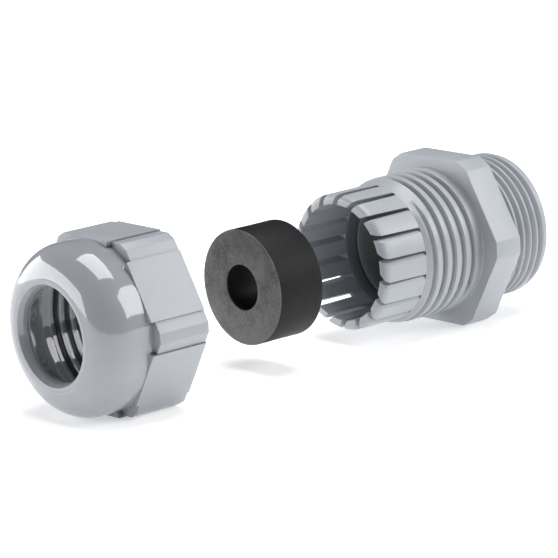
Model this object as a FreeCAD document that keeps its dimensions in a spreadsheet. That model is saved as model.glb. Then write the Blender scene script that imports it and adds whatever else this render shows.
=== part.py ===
import FreeCAD, Part
import math
import os
import Sketcher

# Pg 16 cable gland for sheet-metal housings, laid out along +X in the order of fitting.
# Origin: on the axis, in the panel-side face of the hexagon collar. Millimetres, +Z up.
# +X points out of the collar towards the end of the connection thread.
# Angles run clockwise as seen from the cap nut, from the top: from +Z towards -Y.

DIMENSIONS = [
    ("spanner_size", 26.0, "across the flats of the collar and of the cap nut"),
    ("corner_size", 28.6, "across the trimmed corners of the hexagons"),
    ("collar_length", 5.1, "thickness of the hexagon collar"),
    ("bore_radius", 7.8, "cable passage through the body"),
    ("conn_radius", 11.25, "Pg 16 major radius"),
    ("conn_core", 10.6, "Pg 16 core radius"),
    ("conn_pitch", 1.411, "Pg 16 has 18 threads per inch"),
    ("conn_length", 9.5, "connection thread and its lead-in band"),
    ("conn_first", 1.47, "start of its groove, at the top"),
    ("conn_turns", 4.4, "turns of the connection thread"),
    ("band_radius", 11.0, "plain lead-in band at the end"),
    ("band_length", 1.3, "length of the lead-in band"),
    ("end_chamfer", 0.45, "chamfer at the end of the body"),
    ("cap_radius", 11.3, "crest radius of the clamping thread"),
    ("cap_core", 10.6, "core radius of the clamping thread"),
    ("cap_pitch", 2.0, "pitch of the clamping thread"),
    ("groove_open", 1.1, "width of its groove at the crest"),
    ("groove_floor", 0.6, "width of its groove at the core"),
    ("groove_x", -17.61, "start of the groove, at the top"),
    ("groove_turns", 5.4, "turns of the clamping thread"),
    ("ramp_x", -14.3, "end of the lead-in ramp of the clamping thread"),
    ("cage_radius", 9.0, "inside of the finger cage"),
    ("finger_radius", 10.55, "outside of the finger cage"),
    ("hinge_x", -16.35, "living hinges at the finger roots"),
    ("tip_x", -24.6, "finger tips"),
    ("tip_bevel", 0.9, "bevel on the outside of the tips"),
    ("seat_x", -13.4, "shoulder that the sealing bush rests on"),
    ("finger_count", 18, "clamping fingers"),
    ("slot_width", 0.88, "slot between two fingers, halfway between cage and outside"),
    ("upper_wall", 3.5, "distance from the axis to the plane of a finger's upper wall"),
    ("lower_wall", 5.7, "distance from the axis to the plane of its lower wall"),
    ("first_finger", 9.9, "direction of the first finger, in degrees"),
    ("root_gap", 0.2, "gap between a finger's wide part and the body"),
    ("knuckle_radius", 0.5, "rounded root of a finger"),
    ("knuckle_width", 2.2, "length of the rounded root, across the finger"),
    ("knuckle_gap", 0.03, "clearance round the root"),
    ("bush_radius", 8.8, "sealing bush"),
    ("bush_bore", 3.45, "cable hole in the sealing bush"),
    ("bush_length", 8.4, "sealing bush"),
    ("bush_edge", 0.35, "rounding of its edges"),
    ("bush_x", -44.2, "front face of the sealing bush"),
    ("cap_mouth_x", -62.65, "mouth of the cap nut"),
    ("skirt_length", 10.0, "threaded skirt of the cap nut"),
    ("corner_length", 9.0, "length of the hexagon's corners on the skirt"),
    ("pad_length", 9.8, "length of the raised pads on the skirt"),
    ("pad_width", 9.4, "width of the raised pads"),
    ("pad_height", 0.25, "height of the pads above the hexagon"),
    ("dome_radius", 12.8, "round part of the cap nut"),
    ("dome_start", 12.5, "distance from the mouth to the start of the dome's curve"),
    ("dome_arc", 5.13, "radius of the dome's curve"),
    ("lip_radius", 6.95, "cable hole in the cap nut"),
    ("cone_front", 15.8, "narrow end of the clamping cone, from the mouth"),
    ("cone_back", 10.4, "wide end of the clamping cone, from the mouth"),
    ("cone_radius", 10.8, "wide end of the clamping cone"),
    ("nut_core", 10.75, "crest radius inside the cap nut"),
    ("nut_major", 11.45, "root radius inside the cap nut"),
    ("mesh_turns", 28, "whole pitches between the starts of the two threads"),
    ("nut_turns", 5.7, "turns of the thread inside the cap nut"),
    ("thread_play", 0.1, "clearance on each flank of the clamping thread"),
]

doc = FreeCAD.newDocument("cable_gland")
sheet = doc.addObject("Spreadsheet::Sheet", "Sizes")
for row, (alias, value, meaning) in enumerate(DIMENSIONS, start=1):
    sheet.set(f"A{row}", meaning)
    sheet.set(f"B{row}", str(value))
    sheet.setAlias(f"B{row}", alias)
doc.recompute()


class Size:
    """A number together with the sheet expression that gives it."""

    def __init__(self, value, text):
        self.value = value
        self.text = text

    def join(self, other, sign, value):
        text = other.text if isinstance(other, Size) else str(other)
        return Size(value, f"({self.text} {sign} {text})")

    def __add__(self, other):
        return self.join(other, "+", self.value + number(other))

    def __sub__(self, other):
        return self.join(other, "-", self.value - number(other))

    def __mul__(self, other):
        return self.join(other, "*", self.value * number(other))

    def __truediv__(self, other):
        return self.join(other, "/", self.value / number(other))

    def __neg__(self):
        return Size(-self.value, f"(0 - {self.text})")


def number(item):
    return item.value if isinstance(item, Size) else float(item)


def size(alias):
    return Size(float(sheet.get(alias)), f"Sizes.{alias}")


def bind(thing, prop, item):
    thing.setExpression(prop, item.text)


spanner = size("spanner_size")
hinge_x = size("hinge_x")
cage = size("cage_radius")
finger_r = size("finger_radius")
hinge_r = (cage + finger_r) / 2
pitch = size("cap_pitch")
mouth_x = size("cap_mouth_x")
count = int(sheet.get("finger_count"))
finger_step = 360.0 / count
first_finger = number(size("first_finger"))
zero = Size(0.0, "0")


# ---- sketches ----


def new_body(label):
    body = doc.addObject("PartDesign::Body", label)
    body.Label = label
    return body


def plane(body, role):
    return next(f for f in body.Origin.OriginFeatures if f.Role == role)


def new_sketch(body, name, role, offset=None, turn=0.0):
    """A sketch on one of the body's own planes, moved along its normal and turned about X."""
    sketch = body.newObject("Sketcher::SketchObject", name)
    sketch.AttachmentSupport = [(plane(body, role), "")]
    sketch.MapMode = "FlatFace"
    axis_turn = FreeCAD.Rotation(FreeCAD.Vector(1, 0, 0), turn)
    sketch.AttachmentOffset = FreeCAD.Placement(FreeCAD.Vector(0, 0, 0), axis_turn)
    if offset is not None:
        bind(sketch, "AttachmentOffset.Base.z", offset)
    doc.recompute()
    return sketch


def constrain(sketch, kind, *facts):
    """Adds a constraint, with its size bound to the sheet where the last fact is a Size."""
    if isinstance(facts[-1], Size):
        index = sketch.addConstraint(Sketcher.Constraint(kind, *facts[:-1], facts[-1].value))
        sketch.setExpression(f"Constraints[{index}]", facts[-1].text)
    else:
        sketch.addConstraint(Sketcher.Constraint(kind, *facts))


def fix_point(sketch, curve, end, point):
    """Holds one end of a curve at a point given as two sizes."""
    for kind, item in zip(("DistanceX", "DistanceY"), point):
        constrain(sketch, kind, -1, 1, curve, end, item)


def arc_between(start, end, radius):
    """The arc that bulges to the left on the way from start to end, listed anticlockwise."""
    middle = (start + end) * 0.5
    half = (end - start).Length / 2
    left = FreeCAD.Vector(start.y - end.y, end.x - start.x, 0).normalize()
    centre = middle - left * math.sqrt(max(0.0, radius * radius - half * half))
    return Part.Arc(end, centre + left * radius, start)


def outline(sketch, points, radii=None):
    """A closed outline, drawn clockwise. radii rounds the side that leaves a point, outwards."""
    radii = radii or {}
    places = [FreeCAD.Vector(x.value, y.value, 0) for x, y in points]
    ends = []
    for i, start in enumerate(places):
        end = places[(i + 1) % len(places)]
        curve = arc_between(start, end, radii[i].value) if i in radii else Part.LineSegment(start, end)
        index = sketch.addGeometry(curve)
        starts_here = sketch.Geometry[index].StartPoint.distanceToPoint(start) < 1e-6
        ends.append((index, 1, 2) if starts_here else (index, 2, 1))
    for i, (index, start, end) in enumerate(ends):
        after, after_start, _ = ends[(i + 1) % len(ends)]
        constrain(sketch, "Coincident", index, end, after, after_start)
        fix_point(sketch, index, start, points[i])
        if i in radii:
            constrain(sketch, "Radius", index, radii[i])


def ring_sketch(sketch, *radii):
    for radius in radii:
        circle = Part.Circle(FreeCAD.Vector(0, 0, 0), FreeCAD.Vector(0, 0, 1), radius.value)
        index = sketch.addGeometry(circle)
        constrain(sketch, "Coincident", index, 3, -1, 1)
        constrain(sketch, "Radius", index, radius)


def hexagon(sketch, flats, corners):
    """A hexagon with a flat on top and its corners trimmed, held by its flats' distances."""
    flat, corner = flats.value / 2, corners.value / 2
    half_flat = (corner - flat * math.cos(math.pi / 6)) / math.sin(math.pi / 6)
    points = []
    for k in range(6):
        turn = math.pi / 2 - k * math.pi / 3
        for side in (1, -1):
            x = flat * math.cos(turn) - side * half_flat * math.sin(turn)
            y = flat * math.sin(turn) + side * half_flat * math.cos(turn)
            points.append(FreeCAD.Vector(x, y, 0))
    first = sketch.GeometryCount
    for a, b in zip(points, points[1:] + points[:1]):
        sketch.addGeometry(Part.LineSegment(a, b))
    for i in range(12):
        constrain(sketch, "Coincident", first + i, 2, first + (i + 1) % 12, 1)
        constrain(sketch, "Distance", -1, 1, first + i, (flats if i % 2 == 0 else corners) / 2)
    constrain(sketch, "Horizontal", first)
    for i in range(1, 12):
        sketch.addConstraint(Sketcher.Constraint("Angle", first + i - 1, 2, first + i, 1, math.radians(150)))


# ---- features ----


def revolve(body, sketch, kind="PartDesign::Revolution"):
    feature = body.newObject(kind, sketch.Name + "_turned")
    feature.Profile = sketch
    feature.ReferenceAxis = (sketch, ["H_Axis"])
    feature.Angle = 360
    doc.recompute()
    return feature


def extrude(body, sketch, length, kind="PartDesign::Pad", both_ways=False):
    feature = body.newObject(kind, sketch.Name + "_long")
    feature.Profile = sketch
    bind(feature, "Length", length)
    feature.Midplane = both_ways
    doc.recompute()
    return feature


def repeat(body, feature, times):
    """Copies a feature round the X axis."""
    pattern = body.newObject("PartDesign::PolarPattern", feature.Name + "_round")
    pattern.Originals = [feature]
    pattern.Axis = (plane(body, "X_Axis"), [""])
    pattern.Angle = 360
    pattern.Occurrences = times
    body.Tip = pattern
    doc.recompute()
    return pattern


def helix_groove(body, name, start, outer, inner, wide, narrow, lead, height):
    """Cuts a right-hand trapezoid groove that winds along +X from start."""
    sketch = new_sketch(body, name, "XZ_Plane")
    outline(
        sketch,
        [
            (start - wide / 2, outer),
            (start - narrow / 2, inner),
            (start + narrow / 2, inner),
            (start + wide / 2, outer),
        ],
    )
    groove = body.newObject("PartDesign::SubtractiveHelix", name + "_wound")
    groove.Profile = sketch
    groove.ReferenceAxis = (sketch, ["H_Axis"])
    groove.Mode = "pitch-height-angle"
    bind(groove, "Pitch", lead)
    bind(groove, "Height", height)
    groove.LeftHanded = False
    before = body.Shape.Volume
    doc.recompute()
    if not body.Shape.Volume < before - 1.0:
        raise RuntimeError(f"{name} cut nothing")
    return groove


# ---- gland body ----


def make_gland_body():
    body = new_body("gland_body")
    crest, core = size("cap_radius"), size("cap_core")
    conn, bore = size("conn_radius"), size("bore_radius")
    end, chamfer = size("conn_length"), size("end_chamfer")
    band, band_x = size("band_radius"), size("conn_length") - size("band_length")
    seat_x = size("seat_x")

    profile = new_sketch(body, "tube", "XZ_Plane")
    outline(
        profile,
        [
            (hinge_x, cage),
            (hinge_x, core),
            (size("ramp_x"), crest),
            (zero - 1, crest),
            (zero - 1, conn),
            (band_x, conn),
            (band_x, band),
            (end - chamfer, band),
            (end, band - chamfer),
            (end, bore + chamfer),
            (end - chamfer, bore),
            (seat_x, bore),
            (seat_x, cage),
        ],
    )
    revolve(body, profile)

    collar = new_sketch(body, "collar", "YZ_Plane", offset=-size("collar_length"))
    hexagon(collar, spanner, size("corner_size"))
    ring_sketch(collar, bore + 1)
    extrude(body, collar, size("collar_length"))

    knuckle = new_sketch(body, "knuckle_seat", "XZ_Plane", turn=first_finger)
    seat = size("knuckle_radius") + size("knuckle_gap")
    circle = Part.Circle(
        FreeCAD.Vector(hinge_x.value, hinge_r.value, 0), FreeCAD.Vector(0, 0, 1), seat.value
    )
    index = knuckle.addGeometry(circle)
    fix_point(knuckle, index, 3, (hinge_x, hinge_r))
    constrain(knuckle, "Radius", index, seat)
    width = size("knuckle_width") + size("knuckle_gap") * 2
    pocket = extrude(body, knuckle, width, "PartDesign::Pocket", both_ways=True)
    repeat(body, pocket, count)

    helix_groove(
        body,
        "cap_groove",
        size("groove_x"),
        crest + 0.15,
        core,
        size("groove_open") * 1.1,
        size("groove_floor"),
        pitch,
        pitch * size("groove_turns"),
    )
    helix_groove(
        body,
        "conn_groove",
        size("conn_first"),
        conn + 0.1,
        size("conn_core"),
        size("conn_pitch") * 0.88,
        size("conn_pitch") * 0.12,
        size("conn_pitch"),
        size("conn_pitch") * size("conn_turns"),
    )
    return body


# ---- clamping fingers ----


def finger_section(sketch):
    """Two arcs about the axis, joined by the two skewed slot walls."""
    low, high = size("upper_wall"), size("lower_wall")
    half_slot = math.degrees(size("slot_width").value / hinge_r.value) / 2

    def lean(wall, radius):
        return math.degrees(math.acos(wall.value / radius.value))

    # at the hinge, the two walls stand equally far to either side of straight up
    low_turn = half_slot - finger_step / 2 - lean(low, hinge_r)
    high_turn = finger_step / 2 - half_slot - lean(high, hinge_r)

    def at(turn, wall, radius):
        angle = math.radians(turn + lean(wall, radius))
        return FreeCAD.Vector(-math.sin(angle), math.cos(angle), 0) * radius.value

    corners = [
        at(low_turn, low, cage),
        at(low_turn, low, finger_r),
        at(high_turn, high, finger_r),
        at(high_turn, high, cage),
    ]
    top = FreeCAD.Vector(0, 1, 0)
    curves = [
        Part.LineSegment(corners[0], corners[1]),
        Part.Arc(corners[1], top * finger_r.value, corners[2]),
        Part.LineSegment(corners[2], corners[3]),
        Part.Arc(corners[0], top * cage.value, corners[3]),
    ]
    ends = []
    for curve, corner in zip(curves, corners):
        index = sketch.addGeometry(curve)
        starts_here = sketch.Geometry[index].StartPoint.distanceToPoint(corner) < 1e-6
        ends.append((1, 2) if starts_here else (2, 1))
    for i in range(4):
        after = (i + 1) % 4
        constrain(sketch, "Coincident", i, ends[i][1], after, ends[after][0])
    for index, radius in ((1, finger_r), (3, cage)):
        constrain(sketch, "Coincident", index, 3, -1, 1)
        constrain(sketch, "Radius", index, radius)
    constrain(sketch, "Distance", -1, 1, 0, low)
    constrain(sketch, "Distance", -1, 1, 2, high)


def make_finger(k):
    body = new_body(f"finger_{k + 1:02d}")
    tip, bevel, knuckle = size("tip_x"), size("tip_bevel"), size("knuckle_radius")
    spare, wide_end = knuckle * 2, hinge_x - size("root_gap")
    neck, neck_x = knuckle * 0.8, hinge_x + knuckle * 0.6

    section = new_sketch(body, "section", "YZ_Plane", offset=tip)
    finger_section(section)
    extrude(body, section, wide_end - tip)

    point = new_sketch(body, "point", "XZ_Plane")
    outline(
        point,
        [
            (tip - spare, finger_r - bevel - spare),
            (tip - spare, finger_r + spare),
            (tip + bevel + spare, finger_r + spare),
        ],
    )
    revolve(body, point, "PartDesign::Groove")

    root = new_sketch(body, "root", "XZ_Plane")
    outline(
        root,
        [
            (wide_end - knuckle, hinge_r - neck),
            (wide_end - knuckle, hinge_r + neck),
            (neck_x, hinge_r + neck),
            (neck_x, hinge_r - neck),
        ],
        {2: knuckle},
    )
    extrude(body, root, size("knuckle_width"), both_ways=True)
    turn = first_finger + finger_step * k
    body.Placement = FreeCAD.Placement(
        FreeCAD.Vector(0, 0, 0), FreeCAD.Rotation(FreeCAD.Vector(1, 0, 0), turn)
    )
    return body


# ---- sealing bush ----


def make_sealing_bush():
    body = new_body("sealing_bush")
    length, edge = size("bush_length"), size("bush_edge")
    outer, bore = size("bush_radius"), size("bush_bore")
    profile = new_sketch(body, "wall", "XZ_Plane")
    outline(
        profile,
        [
            (zero, bore),
            (zero, outer - edge),
            (edge, outer),
            (length - edge, outer),
            (length, outer - edge),
            (length, bore),
        ],
        {1: edge, 3: edge},
    )
    revolve(body, profile)
    bind(body, "Placement.Base.x", size("bush_x"))
    return body


# ---- cap nut: one moulding, whose threaded skirt turns and whose round dome only slides ----
# Both halves are drawn from the nut's mouth, which opens towards +X.


def nut_groove_width(radius):
    """What the body's thread leaves free at a radius, so that the two mesh with play."""
    floor, core = size("groove_floor"), size("cap_core")
    taper = (size("groove_open") - floor) / (size("cap_radius") - core)
    return pitch - floor - taper * (radius - core) + size("thread_play") * 2


def make_cap_skirt():
    body = new_body("cap_nut_skirt")
    core, root = size("nut_core"), size("nut_major")
    length, dome = size("skirt_length"), size("dome_radius")
    corners, flats = size("corner_length"), spanner - size("pad_height") * 2
    inside, lead_in = flats / 2 - 0.5, root - core
    thread_x = size("groove_x") - mouth_x - pitch * (size("mesh_turns") - 0.5)

    ring = new_sketch(body, "ring", "XZ_Plane")
    outline(
        ring,
        [
            (-length, core),
            (-length, dome),
            (-corners, dome),
            (-corners, inside),
            (zero, inside),
            (zero, root),
            (-lead_in, core),
        ],
    )
    revolve(body, ring)

    hexes = new_sketch(body, "hexagon", "YZ_Plane", offset=-corners)
    hexagon(hexes, flats, size("corner_size"))
    ring_sketch(hexes, inside - 0.5)
    extrude(body, hexes, corners)

    pad = new_sketch(body, "pad", "YZ_Plane", offset=-size("pad_length"))
    half, low, top = size("pad_width") / 2, dome - 1.3, spanner / 2
    outline(pad, [(-half, low), (-half, top), (half, top), (half, low)])
    repeat(body, extrude(body, pad, size("pad_length")), 6)

    helix_groove(
        body,
        "nut_groove",
        thread_x,
        core - 0.1,
        root,
        nut_groove_width(core - 0.1),
        nut_groove_width(root),
        pitch,
        pitch * size("nut_turns"),
    )
    bind(body, "Placement.Base.x", mouth_x)
    return body


def make_cap_dome():
    body = new_body("cap_nut_dome")
    skirt, dome, arc = size("skirt_length"), size("dome_radius"), size("dome_arc")
    curve_x, lip = -size("dome_start"), size("lip_radius")
    front = curve_x - arc
    lip_arc = dome - arc - lip
    profile = new_sketch(body, "shell", "XZ_Plane")
    outline(
        profile,
        [
            (front + lip_arc, lip),
            (front, lip + lip_arc),
            (curve_x, dome),
            (-skirt, dome),
            (-skirt, size("nut_core")),
            (-size("cone_back"), size("cone_radius")),
            (-size("cone_front"), lip),
        ],
        {0: lip_arc, 1: arc},
    )
    revolve(body, profile)
    bind(body, "Placement.Base.x", mouth_x)
    return body


# ---- the assembly ----


parts = [make_gland_body(), make_sealing_bush(), make_cap_skirt(), make_cap_dome()]
parts += [make_finger(k) for k in range(count)]
doc.recompute()

for thing in doc.Objects:
    if "Invalid" in thing.State or "Error" in thing.State:
        raise RuntimeError(f"{thing.Name} failed: {thing.State}")
for part in parts:
    shape = part.Shape
    if shape.isNull() or not shape.isValid() or len(shape.Solids) != 1:
        raise RuntimeError(f"{part.Label} isn't one valid solid")

os.makedirs("parts", exist_ok=True)
for part in parts:
    part.Shape.exportStep(f"parts/{part.Label}.step")
    print(f"{part.Label}: {part.Shape.Volume:.1f} cubic millimetres")
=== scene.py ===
"""Visual model of a cable gland, drawn apart along its axis: cap nut, sealing bush and body.

Sizes are in millimetres, in the CAD frame: +X runs along the axis, away from the cap nut.
Angles are in degrees, clockwise as seen from the cap nut, from the top: from +Z towards -Y.
"""

import bmesh
import bpy
import math
import numpy as np
from mathutils import Matrix, Vector


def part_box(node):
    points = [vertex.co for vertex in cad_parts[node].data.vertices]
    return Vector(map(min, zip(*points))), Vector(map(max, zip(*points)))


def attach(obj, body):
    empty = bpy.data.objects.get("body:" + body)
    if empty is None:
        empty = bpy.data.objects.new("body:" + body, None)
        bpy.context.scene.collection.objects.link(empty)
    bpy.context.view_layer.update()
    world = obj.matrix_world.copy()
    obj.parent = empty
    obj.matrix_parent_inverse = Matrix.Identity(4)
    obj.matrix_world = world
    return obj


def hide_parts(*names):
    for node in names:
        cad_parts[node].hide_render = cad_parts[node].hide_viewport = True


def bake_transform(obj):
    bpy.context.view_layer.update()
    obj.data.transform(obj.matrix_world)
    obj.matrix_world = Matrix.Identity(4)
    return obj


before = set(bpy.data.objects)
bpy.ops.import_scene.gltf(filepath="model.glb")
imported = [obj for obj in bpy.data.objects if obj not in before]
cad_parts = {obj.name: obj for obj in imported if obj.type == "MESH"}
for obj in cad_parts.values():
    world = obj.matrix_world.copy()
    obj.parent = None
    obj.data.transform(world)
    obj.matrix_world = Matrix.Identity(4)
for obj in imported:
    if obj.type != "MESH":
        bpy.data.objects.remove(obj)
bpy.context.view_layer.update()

MM = 0.001

# where the pieces stand along the axis, and how many fingers there are
MOUTH_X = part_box("cap_nut_skirt")[1][0] / MM
BUSH_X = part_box("sealing_bush")[0][0] / MM
END_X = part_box("gland_body")[1][0] / MM
RING_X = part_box("gland_body")[0][0] / MM
TIP_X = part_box("finger_01")[0][0] / MM
FINGERS = sum(name.startswith("finger_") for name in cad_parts)

# body: radii of the bore and of the finger cage, the shoulder, the ramp and the hexagon collar
BORE, CAGE, FINGER = 7.8, 9.0, 10.55
SEAT_X, RAMP_X, COLLAR_X = -13.4, -14.3, -5.1
COLLAR_FLATS, COLLAR_CORNERS = 26.0, 28.6

# fingers: how far the planes of a slot's walls miss the axis, and the bevel on one outer edge
UPPER_WALL, LOWER_WALL, FINGER_BEVEL = 3.5, 5.7, 0.35
# angle of the first one, and half the angle that a finger takes up at its tip and at its root
FIRST_FINGER, TIP_HALF, ROOT_HALF = 9.9, 7.42, 8.2

# clamping thread, and connection thread with its plain band; GROOVE_X and CONN_X are at the top
CREST, CORE, PITCH, GROOVE_X = 11.3, 10.6, 2.0, -17.61
CONN, CONN_CORE, CONN_PITCH, CONN_X, BAND = 11.25, 10.6, 1.411, 1.47, 11.0

# sealing bush
BUSH_RADIUS, BUSH_BORE, BUSH_LENGTH = 8.8, 3.45, 8.4

# cap nut: inner thread, dome, lip and clamping cone, hexagon skirt, and the pad on each flat
NUT_CORE, NUT_ROOT, NUT_THREAD_END = 10.75, 11.45, -9.9
DOME, DOME_START, DOME_ARC = 12.85, 12.4, 5.2
LIP, CONE_FRONT, CONE_BACK = 6.95, 15.8, 10.4
SKIRT_FLATS, SKIRT_CORNERS, SKIRT_FRONT = 25.5, 28.6, 9.0
PAD_RADIUS, PAD_HALF, PAD_FRONT = 13.0, 4.7, 9.85

# traces of the mould: angle of its parting line, and the step and burr on threads that cross it
PARTING, STEP, BURR = 120.5, 0.04, 0.1

# colours, and the range of roughness of the two finishes of polyamide
# the three greys are one polyamide: lighter on the body and fingers as painted light, darker on the nut's
# dome and skirt as painted shade
LIT_BODY_GREY, SHADED_DOME_GREY, SHADED_SKIRT_GREY = (0.36, 0.381, 0.411), (0.283, 0.3, 0.323), (0.328, 0.347, 0.375)
RUBBER_BLACK, RUBBER_DULL = (0.0025, 0.0024, 0.0032), (0.0125, 0.012, 0.0145)
# paler colour of the rounded edges between the bush's side and its end faces
RIM_DARK, RIM_LIGHT = (0.07, 0.07, 0.072), (0.19, 0.188, 0.19)
# end faces run from clean to dusty; the paler end also carries painted light from below
CLEAN_FACE, DUSTY_AND_LIT_FACE = (0.028, 0.027, 0.029), (0.14, 0.138, 0.139)
SATIN, GLOSSY = (0.3, 0.42), (0.05, 0.1)


# ---- mesh helpers ----


def smooth(t):
    """Eases from 0 to 1 while t goes from 0 to 1."""
    t = np.clip(t, 0.0, 1.0)
    return t * t * (3 - 2 * t)


def rows_along(corners, n):
    """Rows of (x, r) along a path of corners (x, r, rounding), for n columns."""
    places = [np.array([np.broadcast_to(x, n), np.broadcast_to(r, n)], float) for x, r, _ in corners]
    rows = []
    for i, p in enumerate(places):
        radius = corners[i][2]
        if not radius:
            rows.append(p)
            continue
        a, b = places[i - 1] - p, places[i + 1] - p
        la, lb = np.linalg.norm(a, axis=0), np.linalg.norm(b, axis=0)
        a, b = a / np.maximum(la, 1e-9), b / np.maximum(lb, 1e-9)
        half = np.arccos(np.clip((a * b).sum(axis=0), -1, 1)) / 2
        # a rounding takes up less than half of the shorter side
        cut = np.minimum(radius / np.tan(np.maximum(half, 1e-3)), 0.45 * np.minimum(la, lb))
        steps = 3 if radius < 0.4 else 8
        for t in np.linspace(0, 1, steps + 1):
            rows.append((1 - t) ** 2 * (p + a * cut) + 2 * t * (1 - t) * p + t * t * (p + b * cut))
    return rows


def whole_groove(flank, middle=()):
    """Section of a groove from its front flank: (offset from its middle, depth from 0 to 1)."""
    return [*flank, *middle, *((-offset, depth) for offset, depth in reversed(flank))]


def thread_rows(phis, first, pitch, count, groove, crest, root, low, high, turns, surface=None):
    """Rows that follow a right-hand groove, from first at the top, between low and high.

    turns says where the groove runs in and out; surface(x) is the radius that nothing stands above."""
    rows = []
    step = STEP * smooth((phis - PARTING) / 1.5) * smooth((PARTING + 180 - phis) / 1.5)
    burr = BURR * np.exp(-(((phis - PARTING) / 1.3) ** 2))
    for n in range(count):
        turn = n + phis / 360
        cut = smooth((turn - turns[0]) / 0.06) * smooth((turns[1] - turn) / 0.06)
        for offset, depth in groove:
            x = np.clip(first + pitch * turn + offset + step * cut, low, high)
            r = crest + (root - crest) * depth * cut
            if surface is not None:
                r = np.minimum(surface(x), r + burr * (1 - depth) * cut)
            rows.append(np.array([x, r]))
    return rows


def new_piece(name, mesh):
    mesh.shade_smooth()
    mesh.set_sharp_from_angle(angle=math.radians(32))
    piece = bpy.data.objects.new(name, mesh)
    bpy.context.scene.collection.objects.link(piece)
    return piece


def turned(name, phis, rows):
    """A closed ring-shaped piece, from (x, r) rows round its section and one column per angle."""
    grid = np.array(rows)
    x, r = grid[:, 0, :], grid[:, 1, :]
    angle = np.radians(phis)
    places = np.stack([x, -r * np.sin(angle), r * np.cos(angle)], axis=-1) * MM
    index = np.arange(x.size).reshape(x.shape)
    after = np.roll(index, -1, axis=0)
    quads = np.stack([index[:, :-1], index[:, 1:], after[:, 1:], after[:, :-1]], axis=-1)
    mesh = bpy.data.meshes.new(name)
    mesh.from_pydata(places.reshape(-1, 3).tolist(), [], quads.reshape(-1, 4).tolist())
    work = bmesh.new()
    work.from_mesh(mesh)
    merge = 0.002 * MM
    bmesh.ops.remove_doubles(work, verts=work.verts, dist=merge)
    bmesh.ops.dissolve_degenerate(work, edges=work.edges, dist=merge)
    bmesh.ops.recalc_face_normals(work, faces=work.faces)
    work.to_mesh(mesh)
    work.free()
    return new_piece(name, mesh)


# ---- six-sided outlines ----


def flat_end(flats, corners):
    """Angle from the middle of a hexagon's flat to its end, where the trimmed corner starts."""
    tilt = math.radians(30)
    half_width = round((corners - flats * math.cos(tilt)) / (2 * math.sin(tilt)), 3)
    return math.degrees(math.atan2(half_width, flats / 2))


def angles(edges):
    """Columns every 2 degrees, with extra ones close to each edge of a six-sided outline."""
    found = set(np.arange(0.0, 360.01, 2.0).round(3))
    for k in range(6):
        for edge in edges:
            for side in (-1, 1):
                for near in (-1.0, -0.35, -0.12, 0.12, 0.35, 1.0):
                    found.add(round((60 * k + side * edge + near) % 360, 3))
    return np.array(sorted(found))


def hexagon_radius(phis, flats, corners, sharp):
    """Radius of a hexagon with trimmed corners; its edges are rounded less as sharp grows."""
    usual, widest, far = 12, 1.3, 99.0
    total = np.zeros_like(phis)
    for k in range(12):
        away = np.radians((phis - 30 * k + 180) % 360 - 180)
        distance = (flats if k % 2 == 0 else corners) / 2
        reach = np.where(np.abs(away) < widest, distance / np.cos(np.clip(away, -widest, widest)), far)
        total += np.exp(-sharp * (reach - usual))
    return usual - np.log(total) / sharp


# ---- gland body ----


def clamping_thread(phis):
    """Rows of the clamping thread; in front of it the ring is lower where the nut's thread enters."""
    full_ring = smooth((phis - 38) / 20) * smooth((215 - phis) / 30)

    def surface(x):
        places = [RING_X, RING_X + 1.13, RING_X + 1.55, RAMP_X + 0.1, RAMP_X + 0.6]
        open_side = np.interp(x, places, [FINGER, 10.72, 10.9, 11.2, CREST])
        full_side = np.interp(x, [RING_X, RING_X + 0.75, RAMP_X], [FINGER, 11.1, CREST])
        return open_side + (full_side - open_side) * full_ring

    groove = whole_groove([(-0.66, 0), (-0.57, 0.03), (-0.5, 0.14), (-0.36, 0.85), (-0.28, 1)], [(0, 1)])
    return thread_rows(
        phis,
        first=GROOVE_X,
        pitch=PITCH,
        count=8,
        groove=groove + [(PITCH / 2, -0.02)],
        crest=CREST,
        root=CORE,
        low=RING_X + 0.12,
        high=COLLAR_X - 0.75,
        turns=(1.06, 5.4),
        surface=surface,
    )


def connection_thread(phis, start, end):
    """Rows of the connection thread, which runs out softly at both ends."""

    def surface(x):
        return np.full_like(x, CONN + 0.05)

    return thread_rows(
        phis,
        first=CONN_X,
        pitch=CONN_PITCH,
        count=6,
        groove=whole_groove([(-0.6, 0), (-0.52, 0.06), (-0.4, 0.3), (-0.16, 0.86), (-0.06, 1)]),
        crest=CONN,
        root=CONN_CORE,
        low=start,
        high=end,
        turns=(0.02, 4.4),
        surface=surface,
    )


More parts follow.
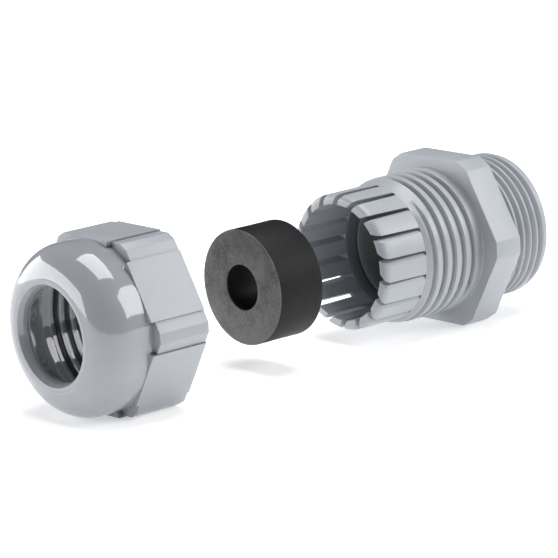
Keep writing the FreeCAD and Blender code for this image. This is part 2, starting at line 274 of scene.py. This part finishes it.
def make_body():
    phis = angles([flat_end(COLLAR_FLATS, COLLAR_CORNERS)])
    n = len(phis)
    hexagon = hexagon_radius(phis, COLLAR_FLATS, COLLAR_CORNERS, 16)
    thread_start, thread_end = 0.55, END_X - 1.3
    ring = [(RING_X + 2.2, CAGE, 0), (RING_X + 1.3, CAGE, 0.05), (RING_X, FINGER, 0)]
    collar = [
        (COLLAR_X - 0.75, CREST, 0),
        (COLLAR_X, CREST, 0.3),
        (COLLAR_X, hexagon, 0.14),
        (0, hexagon, 0.14),
        (0, CONN, 0.2),
        (thread_start, CONN, 0),
    ]
    end = [
        (thread_end, CONN, 0),
        (thread_end + 0.1, BAND, 0.05),
        (END_X - 0.45, BAND, 0.3),
        (END_X, BAND - 0.5, 0.15),
        (END_X, BORE + 0.45, 0.12),
        (END_X - 0.45, BORE, 0.12),
    ]
    # the shoulder for the bush: a thin raised rim round the bore, and a groove round the rim
    shoulder = [
        (SEAT_X + 1.2, BORE, 0.1),
        (SEAT_X + 0.9, BORE, 0),
        (SEAT_X, BORE + 0.06, 0.05),
        (SEAT_X, BORE + 0.26, 0.05),
        (SEAT_X + 0.7, BORE + 0.34, 0.1),
        (SEAT_X + 0.7, CAGE - 0.02, 0.1),
        (SEAT_X - 0.6, CAGE, 0),
    ]
    rows = rows_along(ring, n) + clamping_thread(phis)
    rows += rows_along(collar, n) + connection_thread(phis, thread_start, thread_end)
    rows += rows_along(end + shoulder, n)
    piece = turned("body", phis, rows)
    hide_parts("gland_body")
    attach(piece, "gland")
    return piece


# ---- clamping fingers ----


def lean(wall, radius):
    """Angle at which a radius meets the plane of a slot's wall that misses the axis by wall."""
    return math.degrees(math.acos(wall / radius))


def finger_loop(reach, shrink, half):
    """Section of a finger as (angle, r) pairs: two skewed walls, and a bevel along the upper outer edge."""
    middle, inner = (CAGE + FINGER) / 2, CAGE + shrink
    bevel = min(FINGER_BEVEL, 0.5 * (reach - inner))

    def upper(r):
        return lean(UPPER_WALL, r) - lean(UPPER_WALL, middle) - half

    def lower(r):
        return lean(LOWER_WALL, r) - lean(LOWER_WALL, middle) + half

    loop = [(upper(inner), inner), (upper(reach - bevel), reach - bevel)]
    edge = upper(reach) + math.degrees(bevel / reach)
    loop += [(a, reach) for a in np.linspace(edge, lower(reach), 8)]
    loop.append((lower((reach + inner) / 2), (reach + inner) / 2))
    loop += [(a, inner) for a in np.linspace(lower(inner), upper(inner), 8)[:-1]]
    return loop


def finger_stations():
    """Places (x, outer radius, shrink) from the root, which is set into the ring, to the round tip."""
    stations = [(RING_X + 1.28, CAGE + 0.08, 0.02), (RING_X + 0.12, FINGER - 0.005, 0.01)]
    stations += [(RING_X - d, FINGER, 0) for d in (0.0, 0.15, 0.3, 0.5, 0.7, 0.9, 1.3, 2.5, 4.5, 6.0)]
    tip = [(1.3, 0), (1.16, 0), (1.1, 0.025), (1.04, 0), (0.8, 0.01), (0.6, 0.06), (0.3, 0.25), (0.06, 0.5)]
    stations += [(TIP_X + d, FINGER - drop, 0) for d, drop in tip]
    return stations + [(TIP_X, FINGER - 0.66, 0)]


def make_finger(k):
    turn = FIRST_FINGER + 360 / FINGERS * k
    places, loops = [], []
    for x, reach, shrink in finger_stations():
        half = float(np.interp(x, [TIP_X, RING_X], [TIP_HALF, ROOT_HALF])) - shrink * 6
        loop = finger_loop(reach, shrink, half)
        loops.append(range(len(places), len(places) + len(loop)))
        for a, r in loop:
            angle = math.radians(a + turn)
            places.append((x * MM, -r * math.sin(angle) * MM, r * math.cos(angle) * MM))
    faces = [list(reversed(loops[0])), list(loops[-1])]
    for a, b in zip(loops, loops[1:]):
        for i in range(len(a)):
            j = (i + 1) % len(a)
            faces.append([a[i], a[j], b[j], b[i]])
    name = f"finger_{k + 1:02d}"
    mesh = bpy.data.meshes.new(name)
    mesh.from_pydata(places, [], faces)
    work = bmesh.new()
    work.from_mesh(mesh)
    bmesh.ops.recalc_face_normals(work, faces=work.faces)
    front = (RING_X - 0.05) * MM
    sharp = [e for e in work.edges if e.calc_face_angle(0) > 0.5 and max(v.co.x for v in e.verts) < front]
    bmesh.ops.bevel(work, geom=sharp, offset=0.05 * MM, segments=2, affect="EDGES", clamp_overlap=True)
    work.to_mesh(mesh)
    work.free()
    piece = new_piece(f"clamp_{name}", mesh)
    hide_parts(name)
    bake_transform(piece)
    return piece


# ---- sealing bush ----


def make_bush():
    """A thick-walled ring, with a side that is very slightly waisted."""
    phis = np.arange(0, 361, 3.0)
    x, end_x = BUSH_X, BUSH_X + BUSH_LENGTH
    section = [
        (x + 2, BUSH_BORE, 0),
        (x, BUSH_BORE, 0.3),
        (x, BUSH_BORE + 0.9, 0),
        (x, BUSH_RADIUS - 1.6, 0),
        (x, BUSH_RADIUS, 0.3),
        (x + BUSH_LENGTH * 0.5, BUSH_RADIUS - 0.03, 0),
        (end_x, BUSH_RADIUS, 0.3),
        (end_x, BUSH_RADIUS - 2, 0),
        (end_x, BUSH_BORE, 0.3),
        (end_x - 2, BUSH_BORE, 0),
    ]
    piece = turned("bush", phis, rows_along(section, len(phis)))
    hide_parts("sealing_bush")
    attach(piece, "bush")
    return piece


# ---- cap nut, with x measured from its mouth until the last step ----


def dome_curve():
    """Corners of the dome's arc, with a faint ring that the mould leaves near its end."""
    mould_ring = [(81.5, 0), (81.9, 0.025), (82.5, 0.025), (82.9, 0)]
    curve = [(-DOME_START, DOME, 0)]
    for turn, drop in [(t, 0) for t in range(6, 81, 6)] + mould_ring + [(86, 0), (89.5, 0)]:
        a, arc = math.radians(turn), DOME_ARC - drop
        curve.append((-DOME_START - arc * math.sin(a), DOME - DOME_ARC + arc * math.cos(a), 0))
    return curve


def inner_thread(phis):
    """Rows of the nut's thread; its grooves are half a pitch off the body's, so they hold its crests."""
    flank = [(-0.84, 0), (-0.76, 0.04), (-0.7, 0.14), (-0.52, 0.86), (-0.44, 1)]
    rows = thread_rows(
        phis,
        first=GROOVE_X - MOUTH_X - PITCH * 27.5,
        pitch=PITCH,
        count=7,
        groove=whole_groove(flank, [(0, 1)]),
        crest=NUT_CORE,
        root=NUT_ROOT,
        low=NUT_THREAD_END,
        high=0,
        turns=(0.05, 9),
    )
    # the mouth is bevelled, and the thread runs out through the bevel
    return [np.array([x, np.maximum(r, NUT_ROOT + x)]) for x, r in rows]


def make_nut():
    pad_edge = math.degrees(math.atan2(PAD_HALF, PAD_RADIUS))
    phis = angles([pad_edge, flat_end(SKIRT_FLATS, SKIRT_CORNERS)])
    away = np.abs((phis + 30) % 60 - 30)
    on_pad = away < pad_edge
    hexagon = hexagon_radius(phis, SKIRT_FLATS, SKIRT_CORNERS, 40)
    skirt = np.where(on_pad, PAD_RADIUS / np.cos(np.radians(away)), hexagon)
    front = np.where(on_pad, PAD_FRONT, SKIRT_FRONT)
    outer = [
        (0, NUT_ROOT, 0),
        (0, skirt, 0.16),
        (-0.9, skirt, 0),
        (-front, skirt, 0.06),
        (-front, DOME + 0.02, 0.04),
        (-10.35, DOME, 0),
    ]
    lip = [
        (-17.57, 7.58, 0.05),
        (-16.9, 7.16, 0.5),
        (-16.3, LIP, 0.3),
        (-CONE_FRONT, LIP, 0.25),
        (-CONE_BACK - 0.3, NUT_CORE, 0.25),
        (NUT_THREAD_END, NUT_CORE, 0),
    ]
    rows = rows_along(outer + dome_curve() + lip, len(phis)) + inner_thread(phis)
    rows = [row + np.array([[MOUTH_X], [0.0]]) for row in rows]
    piece = turned("cap_nut", phis, rows)
    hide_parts("cap_nut_skirt", "cap_nut_dome")
    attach(piece, "cap_skirt")
    return piece


# ---- material helpers ----


def new_material(name):
    material = bpy.data.materials.new(name)
    material.use_nodes = True
    return material, material.node_tree.nodes, material.node_tree.links


def noise(nodes, links, scale, detail, roughness=0.5):
    place = nodes.new("ShaderNodeTexCoord")
    texture = nodes.new("ShaderNodeTexNoise")
    texture.inputs["Scale"].default_value = scale
    texture.inputs["Detail"].default_value = detail
    texture.inputs["Roughness"].default_value = roughness
    links.new(place.outputs["Object"], texture.inputs["Vector"])
    return texture.outputs["Fac"]


def ramp(nodes, links, source, stops):
    node = nodes.new("ShaderNodeValToRGB")
    elements = node.color_ramp.elements
    while len(elements) < len(stops):
        elements.new(0.5)
    for element, (at, color) in zip(elements, stops):
        element.position = at
        element.color = (*color, 1)
    links.new(source, node.inputs["Fac"])
    return node.outputs["Color"]


def bump(nodes, links, source, strength, distance, before=None):
    node = nodes.new("ShaderNodeBump")
    node.inputs["Strength"].default_value = strength
    node.inputs["Distance"].default_value = distance
    links.new(source, node.inputs["Height"])
    if before is not None:
        links.new(before, node.inputs["Normal"])
    return node.outputs["Normal"]


def value_range(nodes, links, source, span):
    node = nodes.new("ShaderNodeMapRange")
    node.inputs["To Min"].default_value, node.inputs["To Max"].default_value = span
    links.new(source, node.inputs["Value"])
    return node.outputs["Result"]


def blended(nodes, links, source, span, before, after):
    """Colour that changes from before to after while source crosses span."""
    share = nodes.new("ShaderNodeMapRange")
    share.interpolation_type = "SMOOTHSTEP"
    share.inputs["From Min"].default_value, share.inputs["From Max"].default_value = span
    mix = nodes.new("ShaderNodeMix")
    mix.data_type = "RGBA"
    links.new(source, share.inputs["Value"])
    links.new(share.outputs["Result"], mix.inputs["Factor"])
    links.new(before, mix.inputs["A"])
    links.new(after, mix.inputs["B"])
    return mix.outputs["Result"]


def multiplied(nodes, links, source, factor, added):
    """source times the number factor, plus the value added."""
    node = nodes.new("ShaderNodeMath")
    node.operation = "MULTIPLY_ADD"
    node.inputs[1].default_value = factor
    links.new(source, node.inputs[0])
    links.new(added, node.inputs[2])
    return node.outputs[0]


def component(nodes, links, vector, axis):
    node = nodes.new("ShaderNodeSeparateXYZ")
    links.new(vector, node.inputs["Vector"])
    return node.outputs[axis]


# ---- materials ----


def painted_recess_shade(nodes, links, color, shade):
    """The colour with painted shade: much darker deep between a piece's own walls."""
    recess = nodes.new("ShaderNodeAmbientOcclusion")
    recess.samples = 8
    recess.only_local = True
    recess.inputs["Distance"].default_value = 0.025
    links.new(color, recess.inputs["Color"])
    deepest_painted_shade = nodes.new("ShaderNodeRGB")
    deepest_painted_shade.outputs[0].default_value = (*[c * 0.2 for c in shade], 1)
    return blended(nodes, links, recess.outputs["AO"], (0.1, 0.72), deepest_painted_shade.outputs[0], color)


def polyamide(name, shade, roughness, shine):
    """Moulded polyamide: faintly cloudy, with painted shade in deep recesses, unevenly glossy, slightly
    wavy.
    """
    material, nodes, links = new_material(name)
    shader = nodes["Principled BSDF"]
    dark = tuple(c * 0.955 for c in shade)
    light = tuple(min(1, c * 1.04) for c in shade)
    cloudy = noise(nodes, links, scale=140, detail=5, roughness=0.6)
    color = ramp(nodes, links, cloudy, [(0.3, dark), (0.7, light)])
    # painted shade: the base colour is darkened deep between the piece's own walls
    links.new(painted_recess_shade(nodes, links, color, shade), shader.inputs["Base Color"])
    uneven = noise(nodes, links, scale=420, detail=4)
    links.new(value_range(nodes, links, uneven, roughness), shader.inputs["Roughness"])
    shader.inputs["IOR"].default_value = 1.53
    shader.inputs["Specular IOR Level"].default_value = shine
    fine, broad = noise(nodes, links, scale=5200, detail=2), noise(nodes, links, scale=160, detail=2)
    skin = bump(nodes, links, fine, strength=0.035, distance=0.02 * MM)
    waves = bump(nodes, links, broad, strength=0.05, distance=0.2 * MM, before=skin)
    links.new(waves, shader.inputs["Normal"])
    return material


def rubber():
    """Matte black rubber: dusty end faces, with painted light from below; paler rounded edges."""
    material, nodes, links = new_material("chloroprene rubber")
    shader = nodes["Principled BSDF"]
    patches = noise(nodes, links, scale=260, detail=8, roughness=0.65)
    speckle = noise(nodes, links, scale=2600, detail=3, roughness=0.75)
    side = ramp(nodes, links, speckle, [(0.3, RUBBER_BLACK), (0.75, RUBBER_DULL)])
    rim = ramp(nodes, links, patches, [(0.3, RIM_DARK), (0.7, RIM_LIGHT)])
    place = nodes.new("ShaderNodeTexCoord")
    height = component(nodes, links, place.outputs["Object"], "Z")
    # painted light from below: the end faces are made paler lower down, on top of the dusty patches
    patches_and_painted_low_light = multiplied(nodes, links, height, -16, patches)
    dust_and_painted_low_light = multiplied(nodes, links, speckle, 0.7, patches_and_painted_low_light)
    face = ramp(nodes, links, dust_and_painted_low_light, [(0.55, CLEAN_FACE), (1.0, DUSTY_AND_LIT_FACE)])
    surface = nodes.new("ShaderNodeNewGeometry")
    facing = nodes.new("ShaderNodeMath")
    facing.operation = "ABSOLUTE"
    links.new(component(nodes, links, surface.outputs["Normal"], "X"), facing.inputs[0])
    edge = blended(nodes, links, facing.outputs["Value"], (0.1, 0.5), side, rim)
    color = blended(nodes, links, facing.outputs["Value"], (0.8, 0.98), edge, face)
    links.new(color, shader.inputs["Base Color"])
    links.new(value_range(nodes, links, patches, (0.45, 0.65)), shader.inputs["Roughness"])
    shader.inputs["Specular IOR Level"].default_value = 0.2
    grain = noise(nodes, links, scale=1900, detail=6, roughness=0.7)
    links.new(bump(nodes, links, grain, strength=0.22, distance=0.08 * MM), shader.inputs["Normal"])
    return material


# ---- light, floor and camera, in metres ----


def area_light(name, place, size, power):
    """A rectangular light that faces the middle of the object."""
    data = bpy.data.lights.new(name, "AREA")
    data.shape = "RECTANGLE"
    data.size, data.size_y = size
    data.energy = power
    light = bpy.data.objects.new(name, data)
    light.location = place
    aim = Vector((-0.05, 0, 0))
    light.rotation_euler = (aim - Vector(place)).to_track_quat("-Z", "Y").to_euler()
    bpy.context.scene.collection.objects.link(light)


def make_lights():
    world = bpy.data.worlds.new("studio")
    bpy.context.scene.world = world
    world.use_nodes = True
    sky = world.node_tree.nodes["Background"]
    sky.inputs["Color"].default_value = (0.95, 0.97, 1.0, 1)
    sky.inputs["Strength"].default_value = 0.09
    area_light("top softbox", place=(0.1, 0.0, 0.9), size=(0.7, 0.7), power=8.5)
    area_light("right softbox", place=(0.46, -0.64, 0.46), size=(0.62, 0.5), power=5.0)
    area_light("back softbox", place=(-0.53, 0.63, 0.16), size=(1.3, 0.4), power=7.4)


def make_floor():
    """A floor under the two hexagons; it glows faintly, so that it shows as white."""
    height = min(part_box(n)[0][2] for n in ("gland_body", "cap_nut_skirt"))
    mesh = bpy.data.meshes.new("floor")
    half = 4.0
    corners = [(-half, -half, height), (half, -half, height), (half, half, height), (-half, half, height)]
    mesh.from_pydata(corners, [], [(0, 1, 2, 3)])
    floor = bpy.data.objects.new("floor", mesh)
    bpy.context.scene.collection.objects.link(floor)
    material, nodes, _ = new_material("floor")
    shader = nodes["Principled BSDF"]
    shader.inputs["Base Color"].default_value = (0.93, 0.93, 0.93, 1)
    shader.inputs["Roughness"].default_value = 0.9
    shader.inputs["Emission Color"].default_value = (1, 1, 1, 1)
    shader.inputs["Emission Strength"].default_value = 0.4
    mesh.materials.append(material)


def make_camera():
    """Seen from the cap nut's side and from above, with a long lens and a slight roll."""
    azimuth, elevation, roll = math.radians(-40.6), math.radians(13.24), math.radians(-3.26)
    aim, distance = Vector((-0.0220, 0.0173, -0.0055)), 0.560
    level = math.cos(elevation)
    back = Vector((math.sin(azimuth) * level, -math.cos(azimuth) * level, math.sin(elevation)))
    right = Vector((math.cos(azimuth), math.sin(azimuth), 0))
    axes = Matrix((right, back.cross(right), back)).transposed().to_4x4()
    data = bpy.data.cameras.new("camera")
    data.sensor_width = 36
    data.lens = 231.3
    data.clip_start, data.clip_end = 0.01, 20
    camera = bpy.data.objects.new("camera", data)
    camera.matrix_world = Matrix.Translation(aim + back * distance) @ axes @ Matrix.Rotation(roll, 4, "Z")
    bpy.context.scene.collection.objects.link(camera)
    bpy.context.scene.camera = camera


# ---- the whole scene ----

bpy.context.scene.view_settings.view_transform = "Standard"
make_camera()
make_floor()
make_lights()

# the body and fingers take the lighter copy of the grey, as painted light
satin = polyamide("satin polyamide", LIT_BODY_GREY, SATIN, shine=0.5)
for piece in [make_body()] + [make_finger(k) for k in range(FINGERS)]:
    piece.data.materials.append(satin)

nut = make_nut()
# the nut's dome and skirt take darker copies of the grey, as painted shade
nut.data.materials.append(polyamide("glossy polyamide", SHADED_DOME_GREY, GLOSSY, shine=0.75))
nut.data.materials.append(polyamide("satin polyamide, cap nut", SHADED_SKIRT_GREY, SATIN, shine=0.5))
for face in nut.data.polygons:
    on_skirt = math.hypot(face.center.y, face.center.z) > (DOME + 0.04) * MM
    face.material_index = int(on_skirt)

bush = make_bush()
bush.data.materials.append(rubber())
